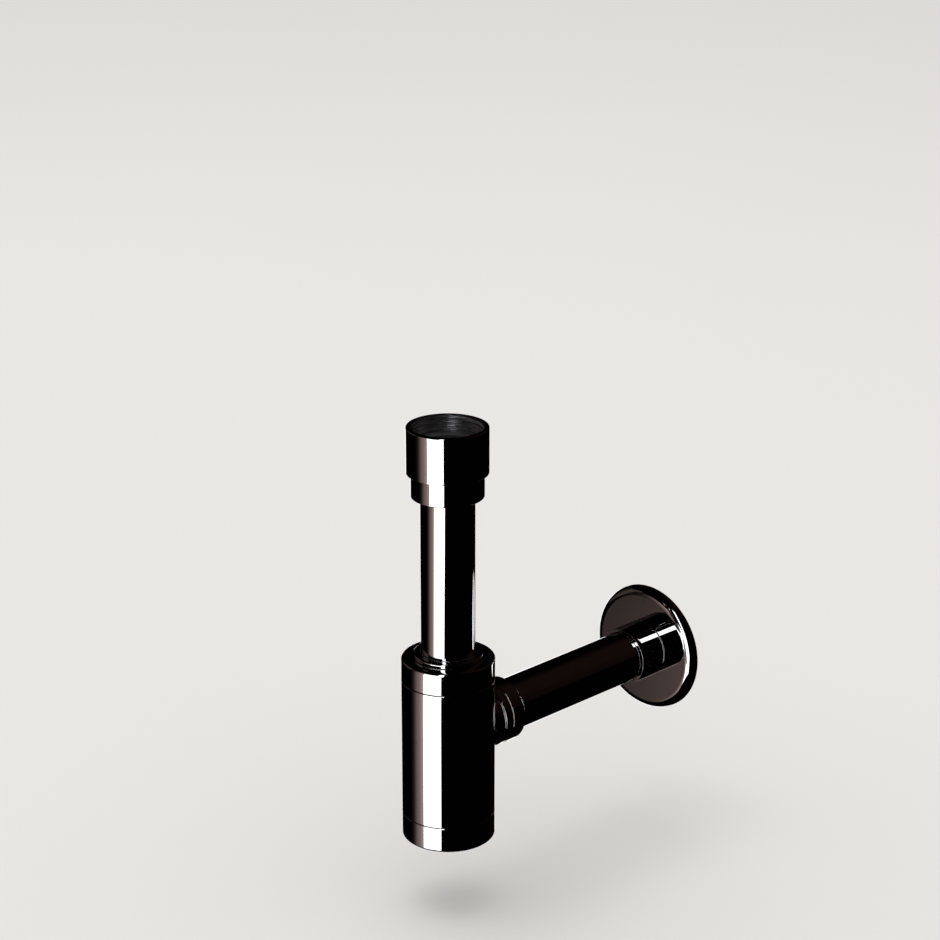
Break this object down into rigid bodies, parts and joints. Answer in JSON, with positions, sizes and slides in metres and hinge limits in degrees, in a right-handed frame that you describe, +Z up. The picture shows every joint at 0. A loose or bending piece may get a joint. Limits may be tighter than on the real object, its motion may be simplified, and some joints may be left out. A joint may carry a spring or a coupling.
{
  "type": "bottle trap",
  "caption": "Polished basin bottle trap: screwed inlet sleeve, vertical tube into a cylindrical bottle with clean-out cup, straight outlet pipe and round wall flange.",
  "frame": {"origin": "centre of the inlet sleeve's threaded mouth", "axes": "+Z up out of the inlet along the bottle's axis, +Y along the outlet pipe to the wall"},
  "size_m": [0.0814, 0.2278, 0.2572],
  "materials": {
    "polished_chrome": "mirror-polished chrome plate",
    "black_rubber": "soft black rubber",
    "white_plastic": "moulded, matte",
    "plain_brass": "plain turned"
  },
  "bodies": {
    "inlet": {"inlet_sleeve": "polished_chrome", "inlet_washer": "black_rubber", "inlet_cone_seal": "black_rubber", "inlet_slip_ring": "white_plastic"},
    "inlet_nut": {"inlet_gland_nut": "polished_chrome"},
    "dip_tube": {"inlet_tube": "polished_chrome"},
    "bottle": {"bottle_body": "polished_chrome", "upper_thread_ring": "plain_brass", "lower_thread_ring": "plain_brass", "outlet_spigot": "polished_chrome", "outlet_cone_seal": "black_rubber", "outlet_slip_ring": "white_plastic"},
    "cap": {"bottle_cap": "polished_chrome", "cap_oring": "black_rubber", "cap_slip_ring": "white_plastic", "cap_cone_seal": "black_rubber"},
    "cap_nut": {"cap_gland_nut": "polished_chrome"},
    "cup_seal": {"cup_oring": "black_rubber"},
    "cup": {"bottom_cup": "polished_chrome"},
    "outlet_joint_nut": {"outlet_nut": "polished_chrome"},
    "waste_pipe": {"outlet_pipe": "polished_chrome"},
    "wall_plate": {"wall_flange": "polished_chrome", "flange_grip_ring": "black_rubber"},
    "plate_sleeve": {"flange_sleeve": "polished_chrome"}
  },
  "joints": [
    {"name": "inlet_nut_spin", "type": "hinge", "parent": "inlet", "child": "inlet_nut", "pos_m": [0, 0, -0.035], "axis": [0, 0, 1], "continuous": true},
    {"name": "tube_swivel", "type": "hinge", "parent": "inlet", "child": "dip_tube", "pos_m": [0, 0, -0.03], "axis": [0, 0, 1], "continuous": true},
    {"name": "bottle_height", "type": "slide", "parent": "dip_tube", "child": "bottle", "axis": [0, 0, 1], "range_m": [-0.03, 0.008]},
    {"name": "cap_spin", "type": "hinge", "parent": "bottle", "child": "cap", "pos_m": [0, 0, -0.15], "axis": [0, 0, 1], "continuous": true},
    {"name": "cap_nut_spin", "type": "hinge", "parent": "cap", "child": "cap_nut", "pos_m": [0, 0, -0.142], "axis": [0, 0, 1], "continuous": true},
    {"name": "cup_drop", "type": "slide", "parent": "bottle", "child": "cup_seal", "axis": [0, 0, -1], "range_m": [0, 0.0115]},
    {"name": "cup_unscrew", "type": "hinge", "parent": "cup_seal", "child": "cup", "pos_m": [0, 0, -0.245], "axis": [0, 0, -1], "range_deg": [0, 1800]},
    {"name": "outlet_nut_spin", "type": "hinge", "parent": "bottle", "child": "outlet_joint_nut", "pos_m": [0, 0.04, -0.19], "axis": [0, 1, 0], "continuous": true},
    {"name": "outlet_pipe_slide", "type": "slide", "parent": "bottle", "child": "waste_pipe", "axis": [0, 1, 0], "range_m": [-0.005, 0.01]},
    {"name": "wall_flange_slide", "type": "slide", "parent": "waste_pipe", "child": "wall_plate", "axis": [0, 1, 0], "range_m": [-0.08, 0]},
    {"name": "flange_sleeve_slide", "type": "slide", "parent": "wall_plate", "child": "plate_sleeve", "axis": [0, 1, 0], "range_m": [-0.02, 0]}
  ],
  "couplings": [
    {"joint": "cup_unscrew", "follows": "cup_drop", "rad_per_m": 2721.2}
  ]
}
